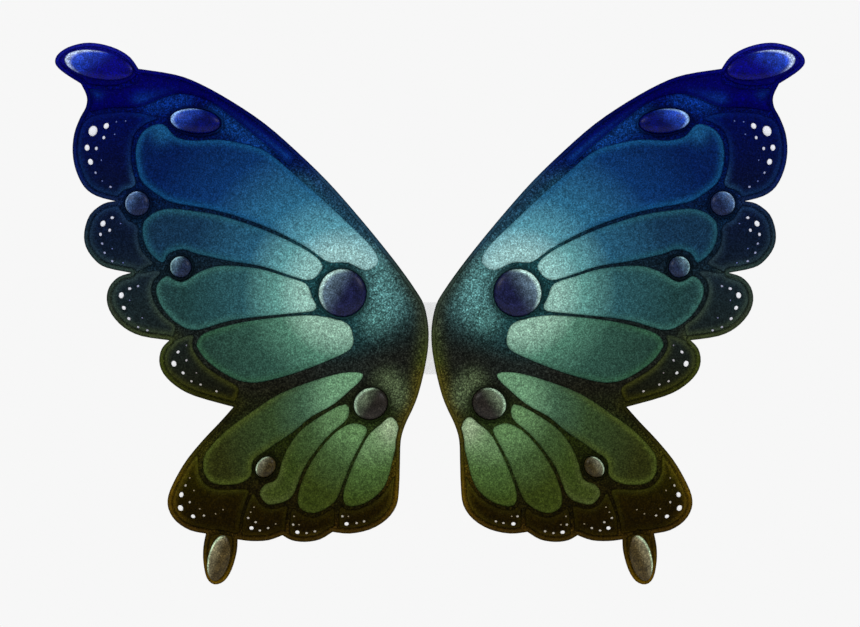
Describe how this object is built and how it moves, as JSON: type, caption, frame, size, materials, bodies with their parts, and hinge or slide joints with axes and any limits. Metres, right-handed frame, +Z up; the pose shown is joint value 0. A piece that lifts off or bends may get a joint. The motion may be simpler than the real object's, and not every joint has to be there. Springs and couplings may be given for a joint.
{
  "type": "fairy wings",
  "caption": "Costume fairy wings with padded iridescent panels, domed cabochons and scalloped edges, hinged to a clear back plate with elastic shoulder straps.",
  "frame": {"origin": "on the wearer's back, in the plane of the back pads' faces, midway between the two hinges and near their mid height", "axes": "+Z up, +X to the wearer's right, +Y from the wings towards the wearer; the show face looks along -Y"},
  "size_m": [0.9002, 0.124, 0.6503],
  "materials": {
    "sheet_fabric": "matt printed cloth",
    "binding_tape": "airbrushed woven tape",
    "spring_steel": "bright drawn",
    "costal_cloth": "airbrushed, fine glitter",
    "panel_a_cloth": "airbrushed, fine glitter",
    "panel_b_cloth": "airbrushed, fine glitter",
    "panel_c_cloth": "airbrushed, fine glitter",
    "panel_d_cloth": "airbrushed, fine glitter",
    "fore_lobe_cloth": "airbrushed, fine glitter",
    "panel_e_cloth": "airbrushed, fine glitter",
    "panel_f_cloth": "airbrushed, fine glitter",
    "panel_g_cloth": "airbrushed, fine glitter",
    "panel_h_cloth": "airbrushed, fine glitter",
    "hind_lobe_cloth": "airbrushed, fine glitter",
    "tip_gem": "mottled gloss",
    "costal_gem": "mottled gloss",
    "root_gem": "mottled gloss",
    "hind_gem": "mottled gloss",
    "tail_gem": "mottled gloss",
    "small_gem": "mottled gloss",
    "bezel_cord": "twisted piping",
    "pearl": "satin pearl",
    "batten_fibre": "pultruded strip",
    "leaf_nylon": "moulded satin",
    "rivet_metal": "bright",
    "clear_plate": "clear moulded",
    "pin_steel": "ground",
    "pad_cloth": "air mesh over foam",
    "strap_elastic": "ribbed elastic",
    "slider_plastic": "moulded satin"
  },
  "bodies": {
    "back": {"back_plate": "clear_plate", "hinge_pins": "pin_steel", "back_pads": "pad_cloth", "strap_rivets": "rivet_metal", "left_shoulder_strap": "strap_elastic", "right_shoulder_strap": "strap_elastic"},
    "left_wing": {"left_wing_sheet": "sheet_fabric", "left_edge_wire": "spring_steel", "left_edge_binding": "binding_tape", "left_costal_panel": "costal_cloth", "left_fore_panel_a": "panel_a_cloth", "left_fore_panel_b": "panel_b_cloth", "left_fore_panel_c": "panel_c_cloth", "left_fore_panel_d": "panel_d_cloth", "left_fore_lobe_panels": "fore_lobe_cloth", "left_hind_panel_e": "panel_e_cloth", "left_hind_panel_f": "panel_f_cloth", "left_hind_panel_g": "panel_g_cloth", "left_hind_panel_h": "panel_h_cloth", "left_hind_lobe_panels": "hind_lobe_cloth", "left_tip_cabochon": "tip_gem", "left_costal_cabochon": "costal_gem", "left_root_cabochon": "root_gem", "left_hind_cabochon": "hind_gem", "left_tail_cabochon": "tail_gem", "left_small_cabochons": "small_gem", "left_bezels": "bezel_cord", "left_pearls": "pearl", "left_battens": "batten_fibre", "left_hinge_leaf": "leaf_nylon", "left_leaf_rivets": "rivet_metal"},
    "right_wing": {"right_wing_sheet": "sheet_fabric", "right_edge_wire": "spring_steel", "right_edge_binding": "binding_tape", "right_costal_panel": "costal_cloth", "right_fore_panel_a": "panel_a_cloth", "right_fore_panel_b": "panel_b_cloth", "right_fore_panel_c": "panel_c_cloth", "right_fore_panel_d": "panel_d_cloth", "right_fore_lobe_panels": "fore_lobe_cloth", "right_hind_panel_e": "panel_e_cloth", "right_hind_panel_f": "panel_f_cloth", "right_hind_panel_g": "panel_g_cloth", "right_hind_panel_h": "panel_h_cloth", "right_hind_lobe_panels": "hind_lobe_cloth", "right_tip_cabochon": "tip_gem", "right_costal_cabochon": "costal_gem", "right_root_cabochon": "root_gem", "right_hind_cabochon": "hind_gem", "right_tail_cabochon": "tail_gem", "right_small_cabochons": "small_gem", "right_bezels": "bezel_cord", "right_pearls": "pearl", "right_battens": "batten_fibre", "right_hinge_leaf": "leaf_nylon", "right_leaf_rivets": "rivet_metal"},
    "left_slider": {"left_strap_slider": "slider_plastic"},
    "right_slider": {"right_strap_slider": "slider_plastic"}
  },
  "joints": [
    {"name": "left_wing_fold", "type": "hinge", "parent": "back", "child": "left_wing", "pos_m": [-0.01201, -0.0255, 0], "axis": [0, 0, 1], "range_deg": [0, 80]},
    {"name": "right_wing_fold", "type": "hinge", "parent": "back", "child": "right_wing", "pos_m": [0.01201, -0.0255, 0], "axis": [0, 0, -1], "range_deg": [0, 80]},
    {"name": "left_strap_adjust", "type": "slide", "parent": "back", "child": "left_slider", "axis": [0, -0.4574, 0.8893], "range_m": [-0.015, 0.015]},
    {"name": "right_strap_adjust", "type": "slide", "parent": "back", "child": "right_slider", "axis": [0, -0.4574, 0.8893], "range_m": [-0.015, 0.015]}
  ]
}
